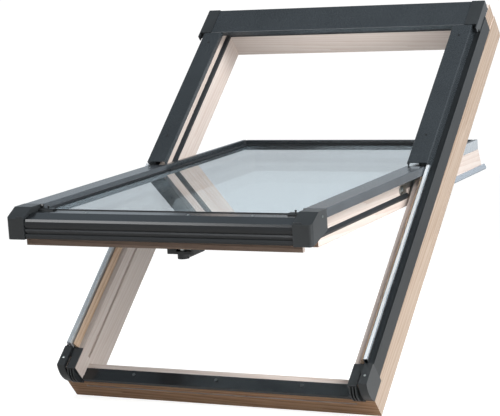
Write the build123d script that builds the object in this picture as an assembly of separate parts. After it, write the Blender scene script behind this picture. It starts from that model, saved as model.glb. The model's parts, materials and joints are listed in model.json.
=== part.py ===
"""Centre-pivot roof window: a pine frame and sash under folded aluminium covers.

Every piece is drawn with the window closed and lying flat: x across, y up the slope from
the frame's lower edge, z outward from the room-side face of the timber.  The sash is then
turned open about its pivot, and the whole window is tilted to the roof's pitch.
"""
from build123d import *
import os

# Driving sizes in millimetres, angles in degrees
frame_width = 780.0
frame_height = 1180.0
roof_pitch = 47.5
open_angle = 39.5

# Frame timber
timber_depth = 111.0
jamb_width = 44.5
head_width = 45.5
sill_width = 45.0
sill_height = 66.0
groove_low = 74.0
groove_width = 8.0
groove_depth = 6.0
timber_round = 2.0
# Upper and lower edge of the sill's drip groove as shares of its height, and its depth as
# a share of the sill's width
sill_drip_shares = (0.66, 0.58, 0.08)

# Folded covers of the frame
sheet = 1.5
bend_radius = 2.0
cladding_drop = 42.0
cladding_lip = 2.5
cladding_stop = 50.0
gutter_width = 30.5
cover_height = 28.5
cover_width = 50.5
cover_inset = 15.5
cover_inner_drop = 13.0
hood_depth = 84.0
hood_setback = 20.0
hood_cap_width = 33.5
hood_cap_wall = 2.5
hood_cap_drop = 16.0
hood_cap_overhang = 14.0
hood_cap_rise = 1.5
rail_width = 10.0
rail_height = 21.5
rail_inset = 9.7
panel_gap = 0.5

# Sill cover and the moulded corner pieces at its ends
sill_cover_wall = 3.0
sill_cover_depth = 32.0
sill_nose_reach = 1.5
sill_nose_drop = 6.0
sill_nose_depth = 10.0
corner_length = 55.0
corner_low = 56.0
corner_wall = 3.0
corner_bulge = 8.0
corner_rise = 5.0
corner_rib_bulge = 15.0
corner_rib_wall = 3.5
corner_rib_pitch = 7.0
corner_rib_count = 3
corner_rib_gap = 2.0
corner_step_gap = 0.6

# Frame gaskets
gasket_height = 16.0
gasket_reach = 7.0
gasket_start = 40.0

# Pivot
pivot_up = 598.0
pivot_out = 123.0
pin_radius = 6.0
pin_clearance = 0.05
pin_end_gap = 0.3
plate_head = 11.0
frame_plate_wall = 4.0
sash_plate_wall = 3.0
plate_length = 90.0
frame_plate_height = 16.0
sash_plate_height = 17.0
sash_plate_top = 112.0
fixed_cover_gap = 18.5

# Sash timber
sash_low = 53.0
sash_top = 125.0
stile_width = 53.0
jamb_gap = 9.0
sash_front_lip = 24.0
lip_wall = 10.0
lip_low = 57.0
front_bevel = 6.0
sill_gap = 3.0
sill_face_gap = 9.0
bottom_rail_depth = 50.0
top_rail_depth = 78.0
head_gap = 33.0
top_bevel = 33.0

# Glazing
glass_wall = 4.0
glass_cavity = 16.0
glass_cover = 41.0
glass_edge_gap = 2.0
glass_low = 18.0
glass_top_inset = 40.0
spacer_width = 12.0
spacer_inset = 4.0

# Sash covers
side_cover_top = 140.0
side_cover_width = 50.0
side_cover_gap = 1.3
side_cover_drop = 19.0
bar_width = 20.0
bar_rise = 13.0
bar_crown = 9.5
bar_drop = 12.0
bar_start = 14.0
sash_seal_reach = 6.0
sash_seal_low = 70.0
sash_seal_height = 14.0
sash_seal_stop = 32.0
bottom_seal_height = 2.4
bottom_seal_depth = 16.0
top_seal_reach = 16.0
top_seal_height = 9.0
top_seal_lip = 3.0

# Ribbed bottom cover and its moulded end caps
bottom_cover_back = 30.0
bottom_cover_front = 46.0
bottom_cover_low = 75.0
bottom_cover_wall = 2.0
shoulder_run = 36.0
shoulder_drop = 9.0
ridge_depth = 5.0
cap_width = 44.0
cap_front = 48.0
cap_low = 73.0
cap_wall = 2.5
cap_side_rise = 22.0
cap_round = 8.0
cap_chamfer_back = 38.0
cap_chamfer_drop = 21.0
cap_boss_width = 20.0
cap_boss_height = 30.0
cap_slot_gap = 1.0

# Corners of the ribbed front from its shoulder to its lower edge: how far down as a share of
# the front's height, how far back from the ridges as a share of the ridge depth, and how far
# the sheet's inner side lies above the corner as a share of the sheet's thickness
ridge_shares = (
    (0.0, 0.8, 0.0), (0.12, 0.2, 0.0), (0.28, 0.0, 0.0), (0.42, 0.3, 1.0), (0.44, 1.0, 1.0),
    (0.48, 1.0, -1.0), (0.5, 0.2, -1.0), (0.59, 0.0, 0.0), (0.68, 0.3, 1.0), (0.7, 1.0, 1.0),
    (0.74, 1.0, -1.0), (0.76, 0.2, -1.0), (0.88, 0.0, 0.0), (1.0, 0.4, 0.0),
)

# Lock and handle
lock_width = 64.0
lock_depth = 36.0
lock_height = 25.0
lock_wall = 3.0
lock_up = 78.0
lock_round = 5.0
spindle_radius = 4.0
lever_gap = 0.3
lever_boss_radius = 13.0
lever_boss_height = 12.0
lever_reach = 84.0
lever_width = 18.0
lever_tip_width = 14.0
lever_wall = 9.0
cam_radius = 11.0
cam_wall = 6.0
cam_reach = 28.0
cam_width = 8.0
cam_gap = 4.0
slot_gap = 1.0
striker_width = 54.0
striker_height = 24.0
striker_wall = 4.0
striker_top_gap = 6.0
striker_slot_width = 34.0
striker_slot_height = 9.0

# Small screws
screw_head_radius = 4.0
screw_head_wall = 1.6
sill_screw_shares = (-0.62, 0.0, 0.62)

overrun = 5.0

# Places worked out from the sizes above
half_width = frame_width / 2
timber_half = half_width - sheet
jamb_inner = timber_half - jamb_width
timber_end = frame_height - sheet
head_inner = timber_end - head_width
gutter_floor = timber_depth + sheet
gutter_inner = timber_half - gutter_width
cladding_low = timber_depth - cladding_drop
cladding_top = gutter_floor + cladding_lip
cladding_end = frame_height - cladding_stop
cover_top = gutter_floor + cover_height
cover_outer = half_width - cover_inset
cover_inner = cover_outer - cover_width
cover_low_end = pivot_up + fixed_cover_gap
cover_stop = jamb_inner + rail_inset
hood_high = frame_height - hood_setback
hood_low = hood_high - hood_depth
hood_half = timber_half - hood_cap_width
rail_outer = half_width - rail_inset
rail_inner = rail_outer - rail_width
sill_cover_top = sill_height + sill_cover_wall
groove_high = groove_low + groove_width
gasket_low = (groove_low + groove_high - gasket_height) / 2
gasket_high = gasket_low + gasket_height
gasket_inner = jamb_inner - gasket_reach
stile_outer = jamb_inner - jamb_gap
stile_inner = stile_outer - stile_width
glass_wall_total = glass_cavity + 2 * glass_wall
glass_seat = sash_top - glass_wall_total
glass_half = stile_inner + glass_cover
sash_end = head_inner - head_gap
sash_top_end = sash_end - top_bevel
top_rail_inner = sash_end - top_rail_depth
glass_high = top_rail_inner + glass_top_inset
notch_up = sill_width + sill_face_gap
notch_out = sill_cover_top + sill_gap
bottom_rail_inner = notch_up + bottom_rail_depth
side_cover_outer = rail_inner - side_cover_gap
side_cover_inner = side_cover_outer - side_cover_width
cap_inner = side_cover_outer - cap_width
cover_fold = shoulder_run - bottom_cover_front
lock_low = sash_low - lock_height
lever_high = lock_low - lever_gap


def across(outline, left, right):
    """Extrude an outline of (y, z) points across the window."""
    return extrude(Plane.YZ.offset(left) * Polygon(*outline, align=None), right - left, dir=Plane.YZ.z_dir)


def along(outline, low, high):
    """Extrude an outline of (x, z) points up the slope."""
    return extrude(Plane.XZ.offset(-high) * Polygon(*outline, align=None), high - low, dir=Plane.XZ.z_dir)


def outward(outline, low, high):
    """Extrude an outline of (x, y) points outward from the room."""
    return extrude(Plane.XY.offset(low) * Polygon(*outline, align=None), high - low, dir=Plane.XY.z_dir)


def block(x_range, y_range, z_range):
    """A square-edged block between three pairs of limits."""
    corners = ((x_range[0], y_range[0]), (x_range[1], y_range[0]))
    far_corners = ((x_range[1], y_range[1]), (x_range[0], y_range[1]))
    return outward(corners + far_corners, z_range[0], z_range[1])


def disc(radius, centre, axis_plane, start, end):
    """A round bar of the given radius between two heights of a plane."""
    return extrude(axis_plane.offset(start) * Pos(*centre) * Circle(radius), end - start)


def channel(x_range, feet, top, low, high):
    """A folded sheet open below, with a foot at each side and rounded bends."""
    left, right = x_range
    left_foot, right_foot = feet
    outer = ((left, left_foot), (left, top), (right, top), (right, right_foot))
    inner = ((right - sheet, right_foot), (right - sheet, top - sheet))
    closing = ((left + sheet, top - sheet), (left + sheet, left_foot))
    face = Polygon(*(outer + inner + closing), align=None)
    bends = face.vertices().filter_by(lambda v: v.Y > top - sheet / 2)
    face = fillet(bends, bend_radius)
    return extrude(Plane.XZ.offset(-high) * face, high - low, dir=Plane.XZ.z_dir)


def both_sides(right_piece):
    """The left and right copies of a piece that is drawn on the right."""
    return {"left": mirror(right_piece, about=Plane.YZ), "right": right_piece}


def cap_slot():
    """Room in the right jamb's foot for the side wall of the sash's end cap."""
    slot_x = (side_cover_outer - cap_wall - cap_slot_gap, side_cover_outer + cap_slot_gap)
    high = bottom_cover_back + cap_slot_gap
    outline = (
        (-cap_front, cap_low - cap_slot_gap), (high, cap_low + cap_side_rise - cap_slot_gap),
        (high, side_cover_top), (-cap_front, side_cover_top),
    )
    return across(outline, *slot_x)


def frame_timber():
    """Jambs, head and sill of the fixed frame."""
    groove_x = (jamb_inner - overrun, jamb_inner + groove_depth)
    jamb = block((jamb_inner, half_width), (0, frame_height), (0, cladding_low))
    jamb += block((jamb_inner, timber_half), (0, timber_end), (cladding_low, timber_depth))
    jamb -= block((timber_half, half_width + overrun), (-overrun, corner_length), (corner_low, cladding_low))
    jamb = fillet(jamb.edges().filter_by(Axis.Y).group_by(Axis.Z)[0], timber_round)
    jamb -= block(groove_x, (corner_length, frame_height + overrun), (groove_low, groove_high))
    jamb -= cap_slot()
    head_outline = (
        (head_inner, 0), (frame_height, 0), (frame_height, cladding_low), (timber_end, cladding_low),
        (timber_end, timber_depth), (head_inner, timber_depth),
        (head_inner, groove_high), (head_inner + groove_depth, groove_high),
        (head_inner + groove_depth, groove_low), (head_inner, groove_low),
    )
    sill_outline = (
        (0, 0), (sill_width, 0), (sill_width, sill_height), (0, sill_height),
        (0, sill_drip_shares[0] * sill_height),
        (sill_drip_shares[2] * sill_width, sill_drip_shares[0] * sill_height),
        (sill_drip_shares[2] * sill_width, sill_drip_shares[1] * sill_height),
        (0, sill_drip_shares[1] * sill_height),
    )
    pieces = {f"frame_{side}_jamb": piece for side, piece in both_sides(jamb).items()}
    pieces["frame_head"] = across(head_outline, -jamb_inner, jamb_inner)
    pieces["frame_sill"] = across(sill_outline, -jamb_inner, jamb_inner)
    return pieces


def frame_covers():
    """Cladding, side rails, fixed covers and the hood with its end caps."""
    pieces = {}
    jamb_cladding = along(
        (
            (gutter_inner, timber_depth), (timber_half, timber_depth), (timber_half, cladding_low),
            (half_width, cladding_low), (half_width, cladding_top), (timber_half, cladding_top),
            (timber_half, gutter_floor), (gutter_inner, gutter_floor),
        ),
        corner_length, cladding_end,
    )
    rail = channel((rail_inner, rail_outer), (gutter_floor, gutter_floor),
                   gutter_floor + rail_height, corner_length, cover_low_end - panel_gap)
    fixed_cover = channel((cover_inner, cover_outer), (cover_top - cover_inner_drop, gutter_floor),
                          cover_top, cover_low_end, hood_low - panel_gap)
    fixed_cover += block((cover_stop, cover_outer - sheet), (cover_low_end, cover_low_end + sheet),
                         (gutter_floor, cover_top - sheet))
    for side, piece in both_sides(jamb_cladding).items():
        pieces[f"{side}_jamb_cladding"] = piece
    for side, piece in both_sides(rail).items():
        pieces[f"{side}_side_rail"] = piece
    for side, piece in both_sides(fixed_cover).items():
        pieces[f"{side}_fixed_cover"] = piece
    head_cladding = across(
        (
            (head_inner, timber_depth), (timber_end, timber_depth), (timber_end, cladding_low),
            (frame_height, cladding_low), (frame_height, cladding_top), (timber_end, cladding_top),
            (timber_end, gutter_floor), (head_inner, gutter_floor),
        ),
        -gutter_inner, gutter_inner,
    )
    pieces["head_cladding"] = head_cladding
    hood_foot = cover_top - cover_inner_drop
    hood = across(
        (
            (hood_low, hood_foot), (hood_low, cover_top), (hood_high, cover_top),
            (hood_high, gutter_floor), (hood_high - sheet, gutter_floor),
            (hood_high - sheet, cover_top - sheet), (hood_low + sheet, cover_top - sheet),
            (hood_low + sheet, hood_foot),
        ),
        -hood_half, hood_half,
    )
    top_edges = hood.edges().filter_by(Axis.X).group_by(Axis.Z)[-1]
    pieces["hood_cover"] = fillet(top_edges, bend_radius)
    for side, piece in both_sides(hood_cap()).items():
        pieces[f"hood_{side}_cap"] = piece
    return pieces


def hood_cap():
    """The moulded cap on the right end of the hood, a shell with a hanging side wall."""
    top = cover_top + hood_cap_rise
    low = hood_low - hood_cap_overhang
    side_inner = timber_half - hood_cap_wall
    cap = block((hood_half, timber_half), (hood_low, hood_high), (gutter_floor, top))
    cap += block((side_inner, timber_half), (low, hood_high), (top - hood_cap_drop, top))
    inside_x = (hood_half - overrun, side_inner)
    inside_y = (hood_low + hood_cap_wall, hood_high - hood_cap_wall)
    cap -= block(inside_x, inside_y, (gutter_floor - overrun, top - hood_cap_wall))
    outer_edges = cap.edges().filter_by(Axis.Y).group_by(Axis.Z)[-1].group_by(Axis.X)[-1]
    return fillet(outer_edges, hood_cap_rise)


def sill_pieces():
    """Sill cover, its screws and the ribbed corner pieces."""
    nose = (-sill_nose_reach, sill_height - sill_nose_drop)
    cover = across(
        (
            nose, (0, sill_height - sill_nose_drop), (0, sill_height),
            (sill_cover_depth, sill_height), (sill_cover_depth, sill_height + sheet),
            (sill_nose_depth, sill_height + sheet), (sill_nose_depth, sill_cover_top),
            (-sill_nose_reach, sill_cover_top),
        ),
        -jamb_inner, jamb_inner,
    )
    pieces = {"sill_cover": cover}
    for side, piece in both_sides(sill_corner()).items():
        pieces[f"sill_{side}_corner"] = piece
    screw_up = (sill_nose_depth + sill_cover_depth) / 2
    heads = []
    for share in sill_screw_shares:
        centre = (share * jamb_inner, screw_up)
        seat = sill_height + sheet
        heads.append(disc(screw_head_radius, centre, Plane.XY, seat, seat + screw_head_wall))
    pieces["sill_screws"] = Compound(children=heads)
    return pieces


def bulged_front(bulge, top):
    """Side outline of a corner piece whose front swells forward in one arc."""
    middle = (corner_low + top) / 2
    back = ((0, top), (corner_length, top), (corner_length, corner_low), (0, corner_low))
    edge = Polyline(*back)
    front = ThreePointArc((0, corner_low), (-bulge, middle), (0, top))
    return make_face(edge + front)


def sill_corner():
    """The right corner piece: a wrap on the jamb's foot with curved ribs inside."""
    step = side_cover_outer + corner_step_gap
    tall_face = Plane.YZ.offset(step) * bulged_front(corner_bulge, cladding_top + corner_rise)
    tall = extrude(tall_face, half_width - step, dir=Plane.YZ.z_dir)
    low_top = timber_depth + corner_wall
    plate = block((jamb_inner, step), (-corner_wall, corner_length), (corner_low, low_top))
    corner = tall + plate
    for index in range(corner_rib_count):
        rib_outer = side_cover_outer - cap_wall - corner_rib_gap - index * corner_rib_pitch
        rib = Plane.YZ.offset(rib_outer - corner_rib_wall) * bulged_front(corner_rib_bulge, low_top)
        corner += extrude(rib, corner_rib_wall, dir=Plane.YZ.z_dir)
    corner -= block((0, timber_half), (0, timber_end), (0, timber_depth))
    return corner - cap_slot()


def frame_gaskets():
    """Rubber strips in the grooves of the jambs' upper half and the head."""
    root = (jamb_inner + groove_depth, jamb_inner)
    side = along(
        (
            (root[0], groove_low), (root[0], groove_high), (root[1], groove_high),
            (root[1], gasket_high), (gasket_inner, groove_high), (gasket_inner, groove_low),
            (root[1], gasket_low), (root[1], groove_low),
        ),
        cover_low_end + gasket_start, head_inner,
    )
    pieces = {f"frame_{name}_gasket": piece for name, piece in both_sides(side).items()}
    head_root = head_inner + groove_depth
    head_lip = head_inner - gasket_reach
    pieces["frame_head_gasket"] = across(
        (
            (head_root, groove_low), (head_root, groove_high), (head_inner, groove_high),
            (head_inner, gasket_high), (head_lip, groove_high), (head_lip, groove_low),
            (head_inner, gasket_low), (head_inner, groove_low),
        ),
        -gasket_inner, gasket_inner,
    )
    return pieces


def hinge_plate(face_x, wall, top, height):
    """A strap with a round eye at the pivot, bored for the pin."""
    x_range = (face_x, face_x + wall)
    plate = block(x_range, (pivot_up - plate_length / 2, pivot_up + plate_length / 2), (top - height, top))
    plate += block(x_range, (pivot_up - plate_head, pivot_up + plate_head), (top - height, pivot_out))
    plate += disc(plate_head, (pivot_up, pivot_out), Plane.YZ, *x_range)
    bore_radius = pin_radius + pin_clearance
    return plate - disc(bore_radius, (pivot_up, pivot_out), Plane.YZ, face_x - overrun, x_range[1] + overrun)


def frame_hinges():
    """Frame hinge plates and pivot pins."""
    plate_x = jamb_inner - frame_plate_wall
    plate = hinge_plate(plate_x, frame_plate_wall, timber_depth, frame_plate_height)
    pin = disc(pin_radius, (pivot_up, pivot_out), Plane.YZ, stile_outer + pin_end_gap, jamb_inner)
    collar = disc(plate_head, (pivot_up, pivot_out), Plane.YZ, jamb_inner, jamb_inner + sheet)
    pieces = {f"frame_{side}_hinge": piece for side, piece in both_sides(plate).items()}
    for side, piece in both_sides(pin + collar).items():
        pieces[f"{side}_pivot_pin"] = piece
    return pieces


def striker():
    """The slotted keeper on the sill's inner face."""
    high = sill_height - striker_top_gap
    plate = block((-striker_width / 2, striker_width / 2), (sill_width, sill_width + striker_wall),
                  (high - striker_height, high))
    middle = high - striker_height / 2
    slot_z = (middle - striker_slot_height / 2, middle + striker_slot_height / 2)
    slot_x = (-striker_slot_width / 2, striker_slot_width / 2)
    plate -= block(slot_x, (sill_width - overrun, sill_width + striker_wall + overrun), slot_z)
    return {"striker": plate}


def sash_timber():
    """Stiles with bevelled upper ends, and the top and bottom rail between them."""
    front = -sash_front_lip
    lip_back = front + lip_wall
    side_outline = (
        (front, lip_low), (lip_back, lip_low), (lip_back, notch_out), (notch_up, notch_out),
        (notch_up, sash_low), (sash_end, sash_low), (sash_top_end, sash_top), (cover_fold, sash_top),
        (front, sash_top - front_bevel),
    )
    glass_room_x = (0, glass_half + glass_edge_gap)
    glass_room_y = (glass_low - glass_edge_gap, glass_high + glass_edge_gap)
    glass_room = block(glass_room_x, glass_room_y, (glass_seat, sash_top + overrun))
    stile = across(side_outline, stile_inner, stile_outer) - glass_room
    pieces = {f"sash_{side}_stile": piece for side, piece in both_sides(stile).items()}
    pieces["sash_bottom_rail"] = across(
        (
            (front, lip_low), (lip_back, lip_low), (lip_back, notch_out), (notch_up, notch_out),
            (notch_up, sash_low), (bottom_rail_inner, sash_low), (bottom_rail_inner, glass_seat),
            (glass_room_y[0], glass_seat), (glass_room_y[0], sash_top), (cover_fold, sash_top),
            (front, sash_top - front_bevel),
        ),
        -stile_inner, stile_inner,
    )
    bevel_run = top_bevel / (sash_top - sash_low)
    pieces["sash_top_rail"] = across(
        (
            (top_rail_inner, sash_low), (sash_end, sash_low), (sash_top_end, sash_top),
            (glass_room_y[1], sash_top), (glass_room_y[1], glass_seat), (top_rail_inner, glass_seat),
        ),
        -stile_inner, stile_inner,
    )
    seal_low_end = sash_end - bevel_run * top_seal_lip
    seal_high_end = sash_end - bevel_run * (top_seal_lip + top_seal_height)
    pieces["sash_top_seal"] = across(
        (
            (seal_low_end, sash_low + top_seal_lip),
            (sash_end + top_seal_reach, sash_low + top_seal_lip),
            (sash_end + top_seal_reach, sash_low + 2 * top_seal_lip),
            (seal_high_end, sash_low + top_seal_lip + top_seal_height),
        ),
        -stile_outer, stile_outer,
    )
    return pieces


def glazing():
    """Two panes held apart by a hollow spacer frame."""
    pane_x = (-glass_half, glass_half)
    pane_y = (glass_low, glass_high)
    cavity = (glass_seat + glass_wall, sash_top - glass_wall)
    edge = spacer_inset
    ring = block((pane_x[0] + edge, pane_x[1] - edge), (pane_y[0] + edge, pane_y[1] - edge), cavity)
    edge += spacer_width
    ring -= block((pane_x[0] + edge, pane_x[1] - edge), (pane_y[0] + edge, pane_y[1] - edge), cavity)
    return {
        "outer_pane": block(pane_x, pane_y, (cavity[1], sash_top)),
        "inner_pane": block(pane_x, pane_y, (glass_seat, cavity[0])),
        "glazing_spacer": ring,
    }


def sash_covers():
    """Lower side covers, upper glazing bars and the sash's seals."""
    pieces = {}
    side_cover = channel((side_cover_inner, side_cover_outer), (sash_top, side_cover_top - side_cover_drop),
                         side_cover_top, bottom_cover_back, pivot_up)
    bar_x = stile_outer + sheet - bar_width
    crown_x = stile_outer + sheet - bar_crown
    crown = sash_top + bar_rise
    bar = along(
        (
            (bar_x, sash_top), (stile_outer, sash_top), (stile_outer, sash_top - bar_drop),
            (stile_outer + sheet, sash_top - bar_drop), (stile_outer + sheet, crown), (crown_x, crown),
            (crown_x, sash_top + sheet), (bar_x, sash_top + sheet),
        ),
        pivot_up + bar_start, sash_top_end,
    )
    seal = along(
        (
            (stile_outer, sash_seal_low),
            (stile_outer + sash_seal_reach, sash_seal_low + sash_seal_height / 2),
            (stile_outer, sash_seal_low + sash_seal_height),
        ),
        notch_up, pivot_up - sash_seal_stop,
    )
    for side, piece in both_sides(side_cover).items():
        pieces[f"{side}_side_cover"] = piece
    for side, piece in both_sides(bar).items():
        pieces[f"{side}_glazing_bar"] = piece
    for side, piece in both_sides(seal).items():
        pieces[f"sash_{side}_seal"] = piece
    foot = sash_top_end - bar_width
    pieces["top_glazing_bar"] = across(
        (
            (foot, sash_top), (sash_top_end, sash_top), (sash_top_end, crown),
            (sash_top_end - bar_crown, crown), (sash_top_end - bar_crown, sash_top + sheet),
            (foot, sash_top + sheet),
        ),
        -bar_x, bar_x,
    )
    seal_y = (notch_up - sash_front_lip - bottom_seal_depth, notch_up - sash_front_lip)
    pieces["sash_bottom_seal"] = block((-stile_outer, stile_outer), seal_y,
                                       (notch_out - bottom_seal_height, notch_out))
    return pieces


def bottom_cover():
    """The ribbed cover over the sash's lower edge, one folded and rolled sheet."""
    top = sash_top + bottom_cover_wall
    wall = bottom_cover_wall
    shoulder = top - shoulder_drop
    height = shoulder - bottom_cover_low
    front = []
    inner = []
    for down, back, lift in ridge_shares:
        y = ridge_depth * back - bottom_cover_front
        z = shoulder - height * down
        front.append((y, z))
        inner.append((y + wall, z + wall * lift))
    outline = [(bottom_cover_back, sash_top), (bottom_cover_back, top), (cover_fold, top)]
    outline += front + inner[:0:-1] + [(cover_fold, sash_top)]
    return {"bottom_cover": across(outline, -cap_inner, cap_inner)}


def cap_plan(inset, radius):
    """Plan of an end cap with its outer front corner rounded, drawn in by an inset."""
    left = cap_inner + inset
    right = side_cover_outer - inset
    low = inset - cap_front
    high = bottom_cover_back + (overrun if inset else 0)
    face = Polygon((left, low), (right, low), (right, high), (left, high), align=None)
    corner = face.vertices().sort_by_distance((right, low))[0]
    return fillet(corner, radius)


def cap_body(inset, radius):
    """A solid end cap with a chamfered top front edge, drawn in by an inset."""
    low = inset - cap_front
    top = side_cover_top - inset
    back = bottom_cover_back + (overrun if inset else 0)
    floor = cap_low - (overrun if inset else 0)
    outline = (
        (low, floor), (back, floor), (back, top), (low + cap_chamfer_back, top),
        (low, top - cap_chamfer_drop),
    )
    tall = extrude(Plane.XY.offset(floor) * cap_plan(inset, radius), top - floor, dir=Plane.XY.z_dir)
    return tall & across(outline, cap_inner, side_cover_outer)


def bottom_caps():
    """Moulded end caps: shells that close the sash's lower corners."""
    cap = cap_body(0, cap_round) - cap_body(cap_wall, cap_round - cap_wall)
    front = -sash_front_lip
    cap -= block((cap_inner - overrun, stile_outer), (front, bottom_cover_back + overrun),
                 (cap_low - overrun, sash_top))
    side_cut = (
        (-cap_front, cap_low - overrun), (bottom_cover_back + overrun, cap_low - overrun),
        (bottom_cover_back + overrun, cap_low + cap_side_rise), (bottom_cover_back, cap_low + cap_side_rise),
        (-cap_front, cap_low),
    )
    cap -= across(side_cut, stile_outer, side_cover_outer + overrun)
    boss_x = (cap_inner, cap_inner + cap_boss_width)
    boss_z = (sash_top - cap_boss_height - cap_wall, sash_top - cap_wall)
    cap += block(boss_x, (cap_wall - cap_front, front), boss_z)
    return {f"bottom_{side}_cap": piece for side, piece in both_sides(cap).items()}


def sash_hinges():
    """Sash hinge plates that turn on the pins."""
    plate = hinge_plate(stile_outer, sash_plate_wall, sash_plate_top, sash_plate_height)
    return {f"sash_{side}_hinge": piece for side, piece in both_sides(plate).items()}


def lock():
    """The lock's housing under the bottom rail, hollow and slotted for its cam."""
    half = lock_width / 2
    y_range = (lock_up - lock_depth / 2, lock_up + lock_depth / 2)
    body = block((-half, half), y_range, (lock_low, sash_low))
    body = fillet(body.edges().filter_by(Axis.Z), lock_round)
    body -= block((lock_wall - half, half - lock_wall), (y_range[0] + lock_wall, y_range[1] - lock_wall),
                  (lock_low + lock_wall, sash_low + overrun))
    body -= disc(spindle_radius + pin_clearance, (0, lock_up), Plane.XY, lock_low - overrun, sash_low)
    cam_low = lock_low + lock_wall + cam_gap
    slot_z = (cam_low - slot_gap, cam_low + cam_wall + slot_gap)
    body -= block((-cam_width, half - lock_wall), (y_range[0] - overrun, lock_up), slot_z)
    return {"lock_body": body}


def handle():
    """Lever, spindle and lock cam, which turn together."""
    spindle_low = lever_high - lever_boss_height
    cam_low = lock_low + lock_wall + cam_gap
    centre = (0, lock_up)
    boss = disc(lever_boss_radius, centre, Plane.XY, spindle_low, lever_high)
    tip = lock_up + lever_reach
    arm_plan = (
        (-lever_width / 2, lock_up), (lever_width / 2, lock_up),
        (lever_tip_width / 2, tip), (-lever_tip_width / 2, tip),
    )
    arm = outward(arm_plan, spindle_low, spindle_low + lever_wall)
    arm += disc(lever_tip_width / 2, (0, tip), Plane.XY, spindle_low, spindle_low + lever_wall)
    lever = boss + arm
    lever -= disc(spindle_radius, centre, Plane.XY, spindle_low + lever_wall / 2, lever_high + overrun)
    spindle = disc(spindle_radius, centre, Plane.XY, spindle_low + lever_wall / 2, cam_low + cam_wall)
    cam = disc(cam_radius, centre, Plane.XY, cam_low, cam_low + cam_wall)
    cam_z = (cam_low, cam_low + cam_wall)
    cam += block((0, cam_reach), (lock_up - cam_width / 2, lock_up + cam_width / 2), cam_z)
    cam -= disc(spindle_radius, centre, Plane.XY, cam_low - overrun, cam_z[1] + overrun)
    return {"handle_lever": lever, "handle_spindle": spindle, "lock_cam": cam}


origin = Pos(0, -sill_width / 2, 0)
tilt = Rot(roof_pitch, 0, 0)
turn_open = Pos(0, pivot_up, pivot_out) * Rot(-open_angle, 0, 0) * Pos(0, -pivot_up, -pivot_out)

frame_pieces = frame_timber() | frame_covers() | sill_pieces() | frame_gaskets()
frame_pieces = frame_pieces | frame_hinges() | striker()
pin_collars = [frame_pieces[f"{side}_pivot_pin"] for side in ("left", "right")]
for side, collar in zip(("left", "right"), pin_collars):
    frame_pieces[f"frame_{side}_jamb"] -= collar
sash_pieces = sash_timber() | glazing() | sash_covers() | bottom_cover() | bottom_caps() | sash_hinges()
sash_pieces = sash_pieces | lock() | handle()

os.makedirs("parts", exist_ok=True)
for name, piece in frame_pieces.items():
    export_step(tilt * origin * piece, f"parts/{name}.step")
for name, piece in sash_pieces.items():
    export_step(tilt * origin * turn_open * piece, f"parts/{name}.step")
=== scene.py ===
"""Dresses a centre-pivot roof window: pine frame and sash under dark folded aluminium covers.

New pieces are drawn with the window closed and lying flat, in millimetres: x across, y up the
slope from the frame's lower edge, z outward from the room-side face of the timber.
"""

import json
import logging
import math
from collections.abc import Sequence
from dataclasses import KW_ONLY, dataclass, field
from enum import Enum

import bmesh
import bpy
from mathutils import Matrix, Vector


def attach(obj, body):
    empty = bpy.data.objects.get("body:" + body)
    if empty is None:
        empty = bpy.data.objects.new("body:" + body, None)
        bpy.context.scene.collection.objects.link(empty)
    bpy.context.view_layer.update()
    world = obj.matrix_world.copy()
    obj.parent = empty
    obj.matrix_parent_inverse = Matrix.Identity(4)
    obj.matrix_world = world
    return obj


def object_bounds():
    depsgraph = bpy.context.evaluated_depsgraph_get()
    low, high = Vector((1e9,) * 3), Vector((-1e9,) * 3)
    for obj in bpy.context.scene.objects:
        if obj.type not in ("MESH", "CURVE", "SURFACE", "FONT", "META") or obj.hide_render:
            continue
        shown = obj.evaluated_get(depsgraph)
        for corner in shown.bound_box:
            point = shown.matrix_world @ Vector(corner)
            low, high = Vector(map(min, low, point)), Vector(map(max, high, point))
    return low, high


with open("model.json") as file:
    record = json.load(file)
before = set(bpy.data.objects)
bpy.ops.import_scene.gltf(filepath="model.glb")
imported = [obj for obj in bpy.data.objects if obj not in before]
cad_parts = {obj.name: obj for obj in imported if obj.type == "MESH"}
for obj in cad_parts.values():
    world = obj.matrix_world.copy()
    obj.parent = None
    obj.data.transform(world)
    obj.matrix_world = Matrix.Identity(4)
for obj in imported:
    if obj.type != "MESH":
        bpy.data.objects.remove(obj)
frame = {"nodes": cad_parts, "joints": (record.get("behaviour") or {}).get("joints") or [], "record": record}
LOG = logging.getLogger("roof_window")
CAD_BOX = [list(corner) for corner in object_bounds()]
MM = 0.001
SIDES = {"left": -1.0, "right": 1.0}
STILE_OUTER = 335.0

Point = tuple[float, float]
Place = tuple[float, float, float]
Outline = Sequence[Point]
Material = bpy.types.Material
Tree = bpy.types.NodeTree
Node = bpy.types.Node
Socket = bpy.types.NodeSocket


class Grain(Enum):
    """The way the timber's fibres run."""

    FRAME_LONG = "frame_long"
    FRAME_CROSS = "frame_cross"
    SASH_LONG = "sash_long"
    SASH_CROSS = "sash_cross"


class Tone(Enum):
    """The timber's lacquered tone, and the darker tones that paint shade onto some of its faces."""

    LACQUERED = "lacquered"
    PAINTED_SHADE_OUTER = "painted_shade_outer"
    PAINTED_SHADE_FOOT = "painted_shade_foot"
    PAINTED_SHADE_BEAD = "painted_shade_bead"
    PAINTED_SHADOW_DRIP = "painted_shadow_drip"


class Lay(Enum):
    """The direction in which an outline is drawn out."""

    ACROSS = "x"
    ALONG = "y"
    OUTWARD = "z"


class Rider(Enum):
    """The bodies that pieces ride on."""

    FRAME = "frame"
    SASH = "sash"


class Slot(Enum):
    """The record's material slots, handed to each new piece's build but not recorded on it."""

    PINE = "pine"
    STEEL = "zinc_steel"
    RUBBER = "gasket_rubber"
    PLASTIC = "black_plastic"
    COATED = "coated_aluminium"
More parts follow.
